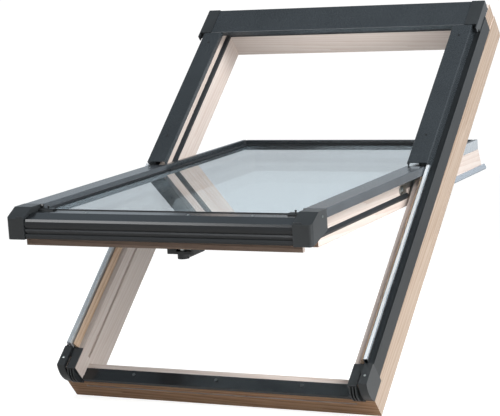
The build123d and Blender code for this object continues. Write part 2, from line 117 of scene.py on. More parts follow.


# Late wood, mean and early wood of the lacquer, and of the darker tones painted on as shade
PINE_COLOURS = {
    Tone.LACQUERED: ("#c2b1a7", "#cbbeb6", "#d2c8c1"),
    Tone.PAINTED_SHADE_OUTER: ("#937c69", "#a49282", "#ae9d8e"),
    Tone.PAINTED_SHADE_FOOT: ("#996a45", "#c3956f", "#d4ad8a"),
    Tone.PAINTED_SHADE_BEAD: ("#b08e70", "#cbae92", "#dac3ac"),
    Tone.PAINTED_SHADOW_DRIP: ("#5e4a3d", "#7d6656", "#927a69"),
}


@dataclass(frozen=True)
class WindowAxes:
    """The closed window's own axes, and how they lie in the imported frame."""

    pitch: float
    open_angle: float
    pivot: Vector
    sill_half: float = 22.5

    @classmethod
    def from_frame(cls) -> "WindowAxes":
        """Read the roof's pitch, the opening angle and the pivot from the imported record.

        Returns:
            The axes of the window at rest.
        """
        mounts = {mount["name"]: mount for mount in frame["record"]["mounts"]}
        up_slope = mounts["head_side"]["axis"]
        joint = next(j for j in frame["joints"] if j["name"] == "sash_pivot")
        pitch = math.atan2(up_slope[2], up_slope[1])
        return cls(pitch, -math.radians(joint["range_deg"][0]), Vector(joint["pos_m"]))

    def turn(self, rider: Rider) -> Matrix:
        """How a body is turned at rest.

        Args:
            rider: the body.

        Returns:
            The rotation from the closed window's axes.
        """
        angle = self.pitch if rider is Rider.FRAME else self.pitch - self.open_angle
        return Matrix.Rotation(angle, 4, "X")

    def matrix(self, rider: Rider) -> Matrix:
        """How a place on the closed window, in metres, moves to its place at rest.

        Args:
            rider: the body that the place is on.

        Returns:
            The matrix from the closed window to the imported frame.
        """
        shift = Matrix.Translation((0.0, -self.sill_half * MM, 0.0))
        closed = self.turn(Rider.FRAME) @ shift
        if rider is Rider.FRAME:
            return closed
        hinge = closed.inverted() @ self.pivot
        return Matrix.Translation(self.pivot) @ self.turn(Rider.SASH) @ Matrix.Translation(-hinge)


AXES = WindowAxes.from_frame()


def linear(hex_colour: str) -> tuple[float, float, float, float]:
    """Turn an sRGB hex colour to linear.

    Args:
        hex_colour: a colour such as "#454c52".

    Returns:
        Linear red, green and blue, and an alpha of one.
    """
    channels = [int(hex_colour[i:i + 2], 16) / 255 for i in (1, 3, 5)]
    shares = [c / 12.92 if c <= 0.04045 else ((c + 0.055) / 1.055) ** 2.4 for c in channels]
    return (*shares, 1.0)


def add_node(tree: Tree, kind: str, links: dict | None = None, values: dict | None = None,
             stops: Sequence[tuple[float, str]] = (), **settings: object) -> Node:
    """Add one node with its settings, constants and incoming links.

    Args:
        tree: the node tree.
        kind: the node's type name.
        links: input name or number to the socket that feeds it.
        values: input name or number to its constant.
        stops: places and hex colours, where the node holds a run of colours.
        settings: attributes of the node.

    Returns:
        The new node.
    """
    node = tree.nodes.new(kind)
    for name, value in settings.items():
        setattr(node, name, value)
    for key, value in (values or {}).items():
        node.inputs[key].default_value = value
    for key, socket in (links or {}).items():
        tree.links.new(socket, node.inputs[key])
    if stops:
        elements = node.color_ramp.elements
        while len(elements) < len(stops):
            elements.new(0.5)
        for element, (place, colour) in zip(elements, stops):
            element.position = place
            element.color = linear(colour)
    return node


@dataclass(frozen=True, kw_only=True)
class Finish:
    """A finish with one principled shader in object coordinates."""

    roughness: float = 0.5
    rough_spread: float = 0.06
    bump_mm: float = 0.05
    bump_strength: float = 0.35

    def start(self, name: str, values: dict) -> tuple[Material, Node, Socket]:
        """Start the material.

        Args:
            name: the finish's name.
            values: constants of the shader.

        Returns:
            The material, its shader and the object's coordinates.
        """
        material = bpy.data.materials.new(name)
        material.use_nodes = True
        tree = material.node_tree
        tree.nodes.clear()
        shader = add_node(tree, "ShaderNodeBsdfPrincipled", values=values)
        add_node(tree, "ShaderNodeOutputMaterial", {"Surface": shader.outputs["BSDF"]})
        return material, shader, add_node(tree, "ShaderNodeTexCoord").outputs["Object"]

    def spread(self, tree: Tree, factor: Socket, shader: Node) -> None:
        """Let one fine pattern vary the roughness and the surface.

        Args:
            tree: the node tree.
            factor: the pattern.
            shader: the shader that it feeds.
        """
        rough = add_node(tree, "ShaderNodeMapRange", {"Value": factor},
                         {"To Min": self.roughness - self.rough_spread,
                          "To Max": self.roughness + self.rough_spread})
        bump = add_node(tree, "ShaderNodeBump", {"Height": factor},
                        {"Strength": self.bump_strength, "Distance": self.bump_mm * MM})
        tree.links.new(rough.outputs["Result"], shader.inputs["Roughness"])
        tree.links.new(bump.outputs["Normal"], shader.inputs["Normal"])


@dataclass(frozen=True)
class PlanedPine(Finish):
    """Planed pine, sawn along the log, so that the growth rings show as long soft bands.

    The inner faces are sealed with a clear, slightly whitened lacquer, which evens out the bands.
    The outer faces carry a duller, darker tone, painted on as shade. The foot that meets the roof
    is painted brown as painted shade, the beads beside the rails amber as painted shade, and the
    sash's drip edge dark brown as painted shadow.
    """

    grain: Grain
    tone: Tone
    _: KW_ONLY
    ring_mm: float = 11.0
    # A diagonal wave pattern at a scale of one repeats after this length
    wave_repeat: float = 0.628
    clouds_per_ring: float = 0.3
    fibre_mm: float = 1.8
    stretch_share: float = 0.03
    cloud_share: float = 0.55
    fibre_share: float = 0.35
    stop_shares: tuple[float, float, float] = (0.3, 0.47, 0.68)
    rough_spread: float = 0.1
    bump_mm: float = 0.4
    bump_strength: float = 0.12

    def turn(self) -> Matrix:
        """The rotation that lays the pattern's X axis along the fibres.

        Returns:
            A rotation of object coordinates.
        """
        rider = Rider.FRAME if self.grain in (Grain.FRAME_LONG, Grain.FRAME_CROSS) else Rider.SASH
        level = AXES.turn(rider).inverted()
        if self.grain in (Grain.FRAME_LONG, Grain.SASH_LONG):
            level = Matrix.Rotation(-math.pi / 2, 4, "Z") @ level
        return level

    def build(self) -> Material:
        """Make the timber's material.

        Returns:
            The material.
        """
        material, shader, place = self.start(f"pine_{self.tone.value}_{self.grain.value}", {})
        tree = material.node_tree
        turned = add_node(tree, "ShaderNodeMapping", {"Vector": place},
                          {"Rotation": tuple(self.turn().to_euler())})
        drawn = add_node(tree, "ShaderNodeMapping", {"Vector": turned.outputs["Vector"]},
                         {"Scale": (self.stretch_share, 1.0, 1.0)}).outputs["Vector"]
        rings = add_node(tree, "ShaderNodeTexWave", {"Vector": drawn},
                         {"Scale": self.wave_repeat / (self.ring_mm * MM), "Distortion": 9.0, "Detail": 3.0,
                          "Detail Scale": 0.7}, bands_direction="DIAGONAL", wave_profile="SAW")
        cloud = add_node(tree, "ShaderNodeTexNoise", {"Vector": drawn},
                         {"Scale": self.clouds_per_ring / (self.ring_mm * MM), "Detail": 4.0,
                          "Roughness": 0.6})
        # Real fibres are finer than a tenth of a millimetre; drawn coarser, they still read as fibres
        fibres = add_node(tree, "ShaderNodeTexNoise", {"Vector": drawn},
                          {"Scale": 1 / (self.fibre_mm * MM), "Detail": 5.0, "Roughness": 0.65})
        bands = add_node(tree, "ShaderNodeMix", {2: rings.outputs["Fac"], 3: cloud.outputs["Fac"]},
                         {0: self.cloud_share})
        mixed = add_node(tree, "ShaderNodeMix", {2: bands.outputs[0], 3: fibres.outputs["Fac"]},
                         {0: self.fibre_share})
        colour = add_node(tree, "ShaderNodeValToRGB", {"Fac": mixed.outputs[0]},
                          stops=tuple(zip(self.stop_shares, PINE_COLOURS[self.tone])))
        tree.links.new(colour.outputs["Color"], shader.inputs["Base Color"])
        self.spread(tree, fibres.outputs["Fac"], shader)
        return material


@dataclass(frozen=True)
class GrainedFinish(Finish):
    """A coated or moulded finish: one colour with faint clouds, paler edges and a fine grain."""

    name: str
    colour: str
    paler: str
    _: KW_ONLY
    metallic: float = 0.0
    grit_mm: float = 1.0
    cloud_mm: float = 90.0
    cloud_range: Point = (0.3, 0.7)
    cloud_share: float = 0.4
    # Pointiness where an edge starts to show, and where it shows fully
    edge_range: Point = (0.53, 0.64)
    edge_share: float = 0.5

    def build(self) -> Material:
        """Make the finish's material.

        Returns:
            The material.
        """
        material, shader, place = self.start(self.name, {"Metallic": self.metallic})
        tree = material.node_tree
        cloud = add_node(tree, "ShaderNodeTexNoise", {"Vector": place},
                         {"Scale": 1 / (self.cloud_mm * MM), "Detail": 4.0, "Roughness": 0.6})
        grit = add_node(tree, "ShaderNodeTexNoise", {"Vector": place},
                        {"Scale": 1 / (self.grit_mm * MM), "Detail": 2.0})
        shape = add_node(tree, "ShaderNodeNewGeometry")
        edge = add_node(tree, "ShaderNodeMapRange", {"Value": shape.outputs["Pointiness"]},
                        {"From Min": self.edge_range[0], "From Max": self.edge_range[1],
                         "To Max": self.edge_share})
        tint = add_node(tree, "ShaderNodeMapRange", {"Value": cloud.outputs["Fac"]},
                        {"From Min": self.cloud_range[0], "From Max": self.cloud_range[1],
                         "To Max": self.cloud_share})
        share = add_node(tree, "ShaderNodeMath", {0: edge.outputs["Result"], 1: tint.outputs["Result"]},
                         operation="ADD", use_clamp=True)
        colour = add_node(tree, "ShaderNodeValToRGB", {"Fac": share.outputs[0]},
                          stops=((0.0, self.colour), (1.0, self.paler)))
        tree.links.new(colour.outputs["Color"], shader.inputs["Base Color"])
        self.spread(tree, grit.outputs["Fac"], shader)
        return material


@dataclass(frozen=True)
class DrawnAluminium(Finish):
    """Bare aluminium pressed through a die, which leaves fine bright lines along its length.

    Mirror-like where it comes off the die, and whiter where it is brushed and anodised.
    """

    name: str
    metallic: float
    _: KW_ONLY
    colour: str = "#f4f6f8"
    shade: str = "#cfd6dc"
    line_mm: float = 1.2
    stretch_share: float = 0.02
    stop_shares: Point = (0.3, 0.7)
    roughness: float = 0.2
    rough_spread: float = 0.08
    bump_strength: float = 0.06

    def build(self) -> Material:
        """Make the bare metal's material.

        Returns:
            The material.
        """
        material, shader, place = self.start(self.name, {"Metallic": self.metallic})
        tree = material.node_tree
        turned = add_node(tree, "ShaderNodeMapping", {"Vector": place}, {"Rotation": (-AXES.pitch, 0.0, 0.0)})
        drawn = add_node(tree, "ShaderNodeMapping", {"Vector": turned.outputs["Vector"]},
                         {"Scale": (1.0, self.stretch_share, 1.0)})
        # Die lines are hair-fine; drawn at over a millimetre they still show as lines at this distance
        lines = add_node(tree, "ShaderNodeTexNoise", {"Vector": drawn.outputs["Vector"]},
                         {"Scale": 1 / (self.line_mm * MM), "Detail": 3.0, "Roughness": 0.6})
        colour = add_node(tree, "ShaderNodeValToRGB", {"Fac": lines.outputs["Fac"]},
                          stops=tuple(zip(self.stop_shares, (self.shade, self.colour))))
        tree.links.new(colour.outputs["Color"], shader.inputs["Base Color"])
        self.spread(tree, lines.outputs["Fac"], shader)
        return material


@dataclass(frozen=True)
class FloatGlass(Finish):
    """Float glass, flat and clear with a cool tint, and a thin uneven film of dust and dried rain."""

    colour: str = "#e4edf1"
    film_mm: float = 140.0
    film_start_share: float = 0.45
    film_roughness: float = 0.03

    def build(self) -> Material:
        """Make the panes' material.

        Returns:
            The material.
        """
        values = {"Base Color": linear(self.colour), "IOR": 1.52, "Transmission Weight": 1.0}
        material, shader, place = self.start("float_glass", values)
        tree = material.node_tree
        film = add_node(tree, "ShaderNodeTexNoise", {"Vector": place},
                        {"Scale": 1 / (self.film_mm * MM), "Detail": 3.0})
        rough = add_node(tree, "ShaderNodeMapRange", {"Value": film.outputs["Fac"]},
                         {"From Min": self.film_start_share, "To Max": self.film_roughness})
        tree.links.new(rough.outputs["Result"], shader.inputs["Roughness"])
        return material


@dataclass
class Finishes:
    """Every finish of the window, each built once."""

    timbers: dict[tuple[Grain, Tone], Material] = field(default_factory=dict)
    cover: Material = field(init=False)
    dusty: Material = field(init=False)
    gloss: Material = field(init=False)
    cladding: Material = field(init=False)
    plastic: Material = field(init=False)
    black: Material = field(init=False)
    rubber: Material = field(init=False)
    strip: Material = field(init=False)
    steel: Material = field(init=False)
    blackened: Material = field(init=False)
    aluminium: Material = field(init=False)
    brushed: Material = field(init=False)
    glass: Material = field(init=False)

    def __post_init__(self) -> None:
        """Build every finish but the timbers."""
        # Folded aluminium sheet, powder coated and baked: satin, with a faint orange peel
        self.cover = GrainedFinish("powder_coat_anthracite", "#23272a", "#33383c", roughness=0.27,
                                   grit_mm=1.4, bump_mm=0.01).build()
        # The same coat on the sash's side covers, which lie nearly level, painted paler as painted light from
        # above
        self.dusty = GrainedFinish("powder_coat_dusty", "#34383c", "#464b50", roughness=0.24,
                                   grit_mm=1.4, bump_mm=0.01).build()
        # The same coat, glossier, on the bottom cover and the sill cover, its colour darkened as painted
        # shade
        self.gloss = GrainedFinish("powder_coat_gloss", "#0e0f11", "#1a1d20", roughness=0.19,
                                   grit_mm=1.4, bump_mm=0.01).build()
        # A matt coat on the flashing sheet beside the covers, its colour darkened as painted shade from the
        # covers
        self.cladding = GrainedFinish("powder_coat_flashing", "#17191a", "#222527", roughness=0.42,
                                      grit_mm=1.4, bump_mm=0.02).build()
        # Glass-filled polyamide from an etched mould: dark, with a fine even grain
        self.plastic = GrainedFinish("moulded_polyamide", "#1f2122", "#303335", roughness=0.34,
                                     bump_mm=0.1).build()
        # The lock's housing and lever, the same plastic in full black with a smoother face
        self.black = GrainedFinish("black_polyamide", "#131415", "#262829", roughness=0.33).build()
        # Extruded EPDM, black and soft, with a bloom that makes it matt
        self.rubber = GrainedFinish("extruded_rubber", "#17191b", "#292c2f", roughness=0.56,
                                    grit_mm=1.5, bump_mm=0.1).build()
        # The upper weather strips: the same black rubber as the seals, painted pale grey as painted light
        self.strip = GrainedFinish("grey_strip", "#878f98", "#9aa2aa", roughness=0.45).build()
        # Pressed steel, zinc plated and passivated: bright with cloudy spangles
        self.steel = GrainedFinish("zinc_plated_steel", "#9aa09e", "#c8ccca", roughness=0.3,
                                   metallic=0.95, bump_mm=0.03, cloud_mm=9.0).build()
        # Blackened steel of the screws in the sill, dull where the black wears off the heads
        self.blackened = GrainedFinish("blackened_steel", "#3c3f40", "#6e7273", roughness=0.38,
                                       metallic=0.8, bump_mm=0.03, cloud_mm=9.0).build()
        # Extruded aluminium, bare as it leaves the die, and brushed on the rails' open faces
        self.aluminium = DrawnAluminium("drawn_aluminium", 1.0).build()
        self.brushed = DrawnAluminium("brushed_aluminium", 0.35).build()
        self.glass = FloatGlass().build()

    def pine(self, grain: Grain, tone: Tone) -> Material:
        """Planed pine, made when it is first asked for.

        Args:
            grain: the way its fibres run.
            tone: its treatment.

        Returns:
            The timber's material.
        """
        if (grain, tone) not in self.timbers:
            self.timbers[grain, tone] = PlanedPine(grain, tone).build()
        return self.timbers[grain, tone]


def placed(outline: Outline, first: float, second: float, sign: float = 1.0) -> list[Point]:
    """Move an outline to its place, and mirror it for the left side.

    Args:
        outline: points about the outline's own corner.
        first: the corner's first value.
        second: the corner's second value.
        sign: one, or minus one to mirror the first value.

    Returns:
        The outline's points on the closed window.
    """
    return [(sign * (first + a), second + b) for a, b in outline]


@dataclass
class Solid:
    """A small mesh drawn on the closed window in millimetres, from any number of prisms and turned pieces."""

    name: str
    points: list[Place] = field(default_factory=list)
    faces: list[tuple[int, ...]] = field(default_factory=list)
    # Radii and heights of a pan head with a round driver recess, as shares of the head's own
    pan_head: Outline = ((1.0, 0.0), (1.0, 0.35), (0.82, 0.8), (0.5, 1.0), (0.42, 1.0), (0.34, 0.3),
                         (0.05, 0.25))

    @staticmethod
    def lay_point(lay: Lay, first: float, second: float, depth: float) -> Place:
        """Order an outline's point and its depth as across, up and out.

        Args:
            lay: the direction of the depth.
            first: the outline's first value.
            second: the outline's second value.
            depth: the place along the direction.

        Returns:
            The point on the closed window.
        """
        if lay is Lay.ACROSS:
            return depth, first, second
        if lay is Lay.ALONG:
            return first, depth, second
        return first, second, depth

    def prism(self, lay: Lay, outline: Outline, start: float, end: float) -> None:
        """Add an outline drawn out from one depth to another.

        Args:
            lay: the direction.
            outline: the outline's points.
            start: the first depth.
            end: the last depth.
        """
        base = len(self.points)
        count = len(outline)
        for depth in (start, end):
            self.points += [self.lay_point(lay, a, b, depth) for a, b in outline]
        self.faces += [tuple(base + i for i in range(count)), tuple(base + count + i for i in range(count))]
        for i in range(count):
            j = (i + 1) % count
            self.faces.append((base + i, base + j, base + count + j, base + count + i))

    def turned(self, lay: Lay, centre: Point, seat: float, profile: Outline, outward: float = 1.0,
               segments: int = 20) -> None:
        """Add a profile turned about an axis.

        Args:
            lay: the axis's direction.
            centre: where the axis passes.
            seat: the depth from which heights are counted.
            profile: radii and heights, from the foot to the middle of the top.
            outward: one if heights grow with the depth, else minus one.
            segments: sides of the round.
        """
        base = len(self.points)
        for radius, height in profile:
            for i in range(segments):
                angle = 2 * math.pi * i / segments
                spot = (centre[0] + radius * math.cos(angle), centre[1] + radius * math.sin(angle))
                self.points.append(self.lay_point(lay, *spot, seat + outward * height))
        for ring in range(len(profile) - 1):
            low = base + ring * segments
            for i in range(segments):
                j = (i + 1) % segments
                self.faces.append((low + i, low + j, low + segments + j, low + segments + i))
        last = base + (len(profile) - 1) * segments
        self.faces += [tuple(base + i for i in range(segments)), tuple(last + i for i in range(segments))]

    def screw(self, lay: Lay, centre: Point, seat: float, size: Point, outward: float = 1.0) -> None:
        """Add a pan-head screw.

        Args:
            lay: the screw's axis.
            centre: where the axis passes.
            seat: the face that it sits on.
            size: the head's radius and height.
            outward: one if the head rises with the depth, else minus one.
        """
        radius, height = size
        profile = [(radius * wide, height * high) for wide, high in self.pan_head]
        self.turned(lay, centre, seat, profile, outward)

    def build(self, rider: Rider, slot: Slot, material: Material, edge_mm: float) -> None:
        """Make the object and let it ride on a body.

        Args:
            rider: the body.
            slot: the record's material slot; not used.
            material: the finish.
            edge_mm: rounding of its edges.
        """
        matrix = AXES.matrix(rider)
        mesh = bpy.data.meshes.new(self.name)
        mesh.from_pydata([matrix @ (Vector(p) * MM) for p in self.points], [], self.faces)
        face_outward(mesh)
        mesh.materials.append(material)
        piece = bpy.data.objects.new(self.name, mesh)
        bpy.context.scene.collection.objects.link(piece)
        soften(piece, edge_mm)
        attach(piece, rider.value)
        LOG.info("built %s on the %s", self.name, rider.value)


def face_outward(mesh: bpy.types.Mesh) -> None:
    """Turn every face of a mesh of closed shells outward.

    Args:
        mesh: the mesh.
    """
    shells = bmesh.new()
    shells.from_mesh(mesh)
    bmesh.ops.recalc_face_normals(shells, faces=shells.faces)
    shells.to_mesh(mesh)
    shells.free()


def soften(piece: bpy.types.Object, edge_mm: float, crease_deg: float = 25.0, wide_mm: float = 3.0) -> None:
    """Round a piece's sharp edges in the picture.

    Args:
        piece: the object.
        edge_mm: the rounding's width.
        crease_deg: edges flatter than this stay as they are.
        wide_mm: a rounding from this width on is drawn with more steps.
    """
    bevel = piece.modifiers.new("edge", "BEVEL")
    bevel.width = edge_mm * MM
    bevel.segments = 2 if edge_mm < wide_mm else 4
    bevel.limit_method = "ANGLE"
    bevel.angle_limit = math.radians(crease_deg)
    bevel.harden_normals = True


@dataclass
class Assembly:
    """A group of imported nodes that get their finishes, and of small pieces added to them."""

    finishes: Finishes
    # Faces within about 14 degrees of a direction count as looking that way
    facing_cosine: float = 0.97

    def dress(self) -> None:
        """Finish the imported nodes."""
        raise NotImplementedError

    def build(self) -> None:
        """Add the small pieces, where there are any."""

    def coat(self, material: Material, *names: str, edge_mm: float) -> None:
        """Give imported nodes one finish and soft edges.

        Args:
            material: the finish.
            names: the nodes; {side} stands for left and right.
            edge_mm: rounding of their edges, or 0 for none.
        """
        for name in names:
            for node in sorted({name.format(side=side) for side in SIDES}):
                piece = frame["nodes"][node]
                piece.data.materials.clear()
                piece.data.materials.append(material)
                if edge_mm:
                    soften(piece, edge_mm)
                LOG.info("dressed %s in %s", node, material.name)

    def coat_faces(self, node: str, rider: Rider, facing: Place, material: Material) -> None:
        """Give the faces of a node that look one way their own finish.

        Args:
            node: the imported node.
            rider: the body that it belongs to.
            facing: the direction in the closed window's axes.
            material: the finish.
        """
        piece = frame["nodes"][node]
        piece.data.materials.append(material)
        index = len(piece.data.materials) - 1
        turn = piece.matrix_world.to_3x3()
        way = (AXES.turn(rider) @ Vector(facing)).normalized()
        for polygon in piece.data.polygons:
            if (turn @ polygon.normal).normalized().dot(way) > self.facing_cosine:
                polygon.material_index = index
        LOG.info("%s has %s on the side that looks to %s", node, material.name, facing)


@dataclass
class TimberFrame(Assembly):
    """The fixed pine frame with its rubber gaskets."""

    bead_span: Point = (57.0, 588.0)
    bead_face: float = 366.0
    bead_seat: float = 112.6
    # Across from the bead's outer face, inward being minus, and outward from its seat
    bead_cove: Outline = ((0.0, 0.0), (0.0, 14.5), (-2.0, 15.0), (-3.4, 12.0), (-5.0, 7.5), (-7.2, 3.2),
                          (-10.0, 1.0), (-10.0, 0.0))

    def dress(self) -> None:
        """Lacquer the inner faces, and paint shade onto the outer faces and the foot."""
        pine = self.finishes.pine
        # Painted shade: the outer faces take a darker tone, and the faces that look down the slope a brown
        # one
        outer_long = pine(Grain.FRAME_LONG, Tone.PAINTED_SHADE_OUTER)
        outer_cross = pine(Grain.FRAME_CROSS, Tone.PAINTED_SHADE_OUTER)
        foot = pine(Grain.FRAME_CROSS, Tone.PAINTED_SHADE_FOOT)
        self.coat(pine(Grain.FRAME_LONG, Tone.LACQUERED), "frame_{side}_jamb", edge_mm=1.2)
        self.coat(pine(Grain.FRAME_CROSS, Tone.LACQUERED), "frame_head", "frame_sill", edge_mm=1.2)
        for side, sign in SIDES.items():
            self.coat_faces(f"frame_{side}_jamb", Rider.FRAME, (sign, 0.0, 0.0), outer_long)
            self.coat_faces(f"frame_{side}_jamb", Rider.FRAME, (0.0, -1.0, 0.0), foot)
        self.coat_faces("frame_sill", Rider.FRAME, (0.0, -1.0, 0.0), foot)
        self.coat_faces("frame_head", Rider.FRAME, (0.0, 1.0, 0.0), outer_cross)
        self.coat(self.finishes.rubber, "frame_{side}_gasket", "frame_head_gasket", edge_mm=0.5)

    def build(self) -> None:
        """Add the coved beads that lie along the rails."""
        beads = Solid("jamb_beads")
        for sign in SIDES.values():
            outline = placed(self.bead_cove, self.bead_face, self.bead_seat, sign)
            beads.prism(Lay.ALONG, outline, *self.bead_span)
        # The beads are painted amber as painted shade beside the rails
        beads.build(Rider.FRAME, Slot.PINE, self.finishes.pine(Grain.FRAME_LONG, Tone.PAINTED_SHADE_BEAD), edge_mm=0.6)


@dataclass
class FrameCovers(Assembly):
    """Folded covers, flashing and moulded corners of the fixed frame."""

    cover_top: float = 141.0
    cover_screw_x: float = 349.0
    cover_screw_ups: Point = (705.0, 1040.0)
    cover_screw_size: Point = (3.2, 1.6)
    corner_top: float = 120.0
    corner_screw: Point = (380.0, 22.0)
    corner_screw_size: Point = (3.0, 1.6)

    def dress(self) -> None:
        """Coat the covers and mould the corners."""
        # The flashing takes the coat darkened as painted shade
        self.coat(self.finishes.cladding, "{side}_jamb_cladding", "head_cladding", edge_mm=0.5)
        self.coat(self.finishes.cover, "{side}_fixed_cover", "hood_cover", edge_mm=1.0)
        # The sill cover takes the coat darkened as painted shade
        self.coat(self.finishes.gloss, "sill_cover", edge_mm=0.8)
        self.coat(self.finishes.aluminium, "{side}_side_rail", edge_mm=0.4)
        for side, sign in SIDES.items():
            for facing in ((0.0, 0.0, 1.0), (-sign, 0.0, 0.0)):
                self.coat_faces(f"{side}_side_rail", Rider.FRAME, facing, self.finishes.brushed)
        self.coat(self.finishes.plastic, "hood_{side}_cap", "sill_{side}_corner", edge_mm=1.0)
        self.coat(self.finishes.blackened, "sill_screws", edge_mm=0.4)

    def build(self) -> None:
        """Add the screws that hold the covers and the corner pieces."""
        coated = Solid("cover_screws")
        bare = Solid("corner_screws")
        for sign in SIDES.values():
            for up in self.cover_screw_ups:
                place = (sign * self.cover_screw_x, up)
                coated.screw(Lay.OUTWARD, place, self.cover_top, self.cover_screw_size)
            corner = (sign * self.corner_screw[0], self.corner_screw[1])
            bare.screw(Lay.OUTWARD, corner, self.corner_top, self.corner_screw_size)
        # The cover screws wear the flashing's coat, darkened as painted shade
        coated.build(Rider.FRAME, Slot.COATED, self.finishes.cladding, edge_mm=0.3)
        bare.build(Rider.FRAME, Slot.STEEL, self.finishes.steel, edge_mm=0.3)


@dataclass
class Sash(Assembly):
    """The glazed sash with its covers, seals and clips."""

    glass_top: float = 125.0
    cover_inner: float = 319.0
    cover_span: Point = (30.0, 598.0)
    cover_top: float = 127.0
    side_top: float = 140.0
    bar_inner: float = 316.5
    bar_span: Point = (612.0, 1047.0)
    bar_crown: Point = (323.2, 1057.5)
    bar_end: float = 1067.0
    bar_top: float = 138.0
    bar_corner_lift: float = 1.5
    bar_corner_chamfer: float = 3.0
    lip_reach: float = 4.5
    lip_height: float = 4.0
    # Shares of the lip's reach and height
    lip_section: Outline = ((0.0, 0.0), (1.0, 0.0), (1.0, 0.2), (0.45, 0.75), (0.0, 1.0))
    rivet_xs: Place = (-190.0, 62.0, 214.0)
    rivet_up: float = -2.0
    rivet_dome: Outline = ((2.6, 0.0), (2.6, 0.3), (2.0, 0.8), (1.1, 1.0), (0.6, 0.9), (0.1, 0.7))
    screw_size: Point = (2.6, 1.2)
    side_screw: Point = (344.0, 560.0)
    cap_screw: Point = (8.0, 127.0)
    cap_outer: float = 369.0
    clip_span: Point = (286.0, 324.5)
    # Up the slope and outward from the bottom cover's upper edge
    clip_foot: Outline = ((-16.0, 0.0), (0.0, 0.0), (0.0, 4.5), (-12.0, 4.0), (-16.0, 1.5))
    clip_post: Outline = ((-5.0, 0.0), (0.0, 0.0), (0.0, 13.0), (-3.0, 13.0), (-5.0, 9.0))
    clip_post_width: float = 7.0
    clip_pin: Outline = ((1.6, 0.0), (1.6, 3.4), (2.6, 4.0), (2.6, 5.4), (2.0, 6.2), (0.3, 6.4))
    # From the clip's near end, the cover's upper edge and its top
    clip_pin_place: Place = (16.0, -7.0, 4.0)
    tongue_reach: float = 6.0
    tongue_chamfer: float = 2.0
    tongue_slant: float = 5.0
    tongue_thickness: float = 1.8
    strip_span: Point = (660.0, 1112.0)
    # Away from the stile and outward from the room-side face
    strip_section: Outline = ((0.0, 54.0), (4.5, 54.5), (6.5, 57.0), (6.0, 62.0), (3.5, 64.5), (3.0, 68.0),
                              (0.0, 69.0))

    def dress(self) -> None:
        """Finish the sash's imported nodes."""
        pine = self.finishes.pine
        self.coat(pine(Grain.SASH_LONG, Tone.LACQUERED), "sash_{side}_stile", edge_mm=1.2)
        self.coat(pine(Grain.SASH_CROSS, Tone.LACQUERED), "sash_bottom_rail", "sash_top_rail", edge_mm=1.2)
        # The faces that look down the slope, under the bottom cover, are painted dark brown as painted shadow
        for node in ("sash_bottom_rail", "sash_left_stile", "sash_right_stile"):
            self.coat_faces(node, Rider.SASH, (0.0, -1.0, 0.0), pine(Grain.SASH_CROSS, Tone.PAINTED_SHADOW_DRIP))
        self.coat(self.finishes.rubber, "sash_{side}_seal", "sash_bottom_seal", "sash_top_seal", edge_mm=0.4)
        self.coat(self.finishes.glass, "outer_pane", "inner_pane", edge_mm=0.0)
        self.coat(self.finishes.aluminium, "glazing_spacer", edge_mm=0.0)
        # The side covers take the coat painted paler as painted light
        self.coat(self.finishes.dusty, "{side}_side_cover", edge_mm=0.6)
        # The bottom cover takes the coat darkened as painted shade
        self.coat(self.finishes.gloss, "bottom_cover", edge_mm=1.6)
        self.coat(self.finishes.cover, "{side}_glazing_bar", "top_glazing_bar", edge_mm=0.5)
        self.coat(self.finishes.plastic, "bottom_{side}_cap", edge_mm=6.0)
        for side, sign in SIDES.items():
            self.coat_faces(f"{side}_glazing_bar", Rider.SASH, (sign, 0.0, 0.0), self.finishes.aluminium)

    def build(self) -> None:
        """Add the glazing lips, rivets, screws, clips, tongues, bar corners and weather strips."""
        self.add_glazing_lips()
        self.add_fixings()
        self.add_clips()
        self.add_tongues()
        self.add_bar_corners()
        self.add_weather_strips()

    def lip(self, edge: float, way: float) -> list[Point]:
        """Outline of a soft lip that lies on the glass against a cover's edge.

        Args:
            edge: where the cover ends.
            way: the direction, one or minus one, from the edge onto the glass.

        Returns:
            Places across the lip and heights.
        """
        reach = way * self.lip_reach
        return [(edge + reach * out, self.glass_top + self.lip_height * up) for out, up in self.lip_section]

    def add_glazing_lips(self) -> None:
        """Lay a rubber lip on the glass along every cover."""
        lips = Solid("glazing_lips")
        for sign in SIDES.values():
            lips.prism(Lay.ALONG, self.lip(sign * self.cover_inner, -sign), *self.cover_span)
            lips.prism(Lay.ALONG, self.lip(sign * self.bar_inner, -sign), *self.bar_span)
        inner = self.bar_inner - self.lip_reach
        lips.prism(Lay.ACROSS, self.lip(self.cover_span[0], 1.0), -inner, inner)
        lips.prism(Lay.ACROSS, self.lip(self.bar_span[1], -1.0), -inner, inner)
        lips.build(Rider.SASH, Slot.RUBBER, self.finishes.rubber, edge_mm=0.4)

    def add_fixings(self) -> None:
        """Add the rivets on the bottom cover and the screws in the side covers and caps."""
        rivets = Solid("cover_rivets")
        for x in self.rivet_xs:
            rivets.turned(Lay.OUTWARD, (x, self.rivet_up), self.cover_top, self.rivet_dome)
        for sign in SIDES.values():
            side = (sign * self.side_screw[0], self.side_screw[1])
            rivets.screw(Lay.OUTWARD, side, self.side_top, self.screw_size)
            rivets.screw(Lay.ACROSS, self.cap_screw, sign * self.cap_outer, self.screw_size, sign)
        rivets.build(Rider.SASH, Slot.STEEL, self.finishes.steel, edge_mm=0.2)

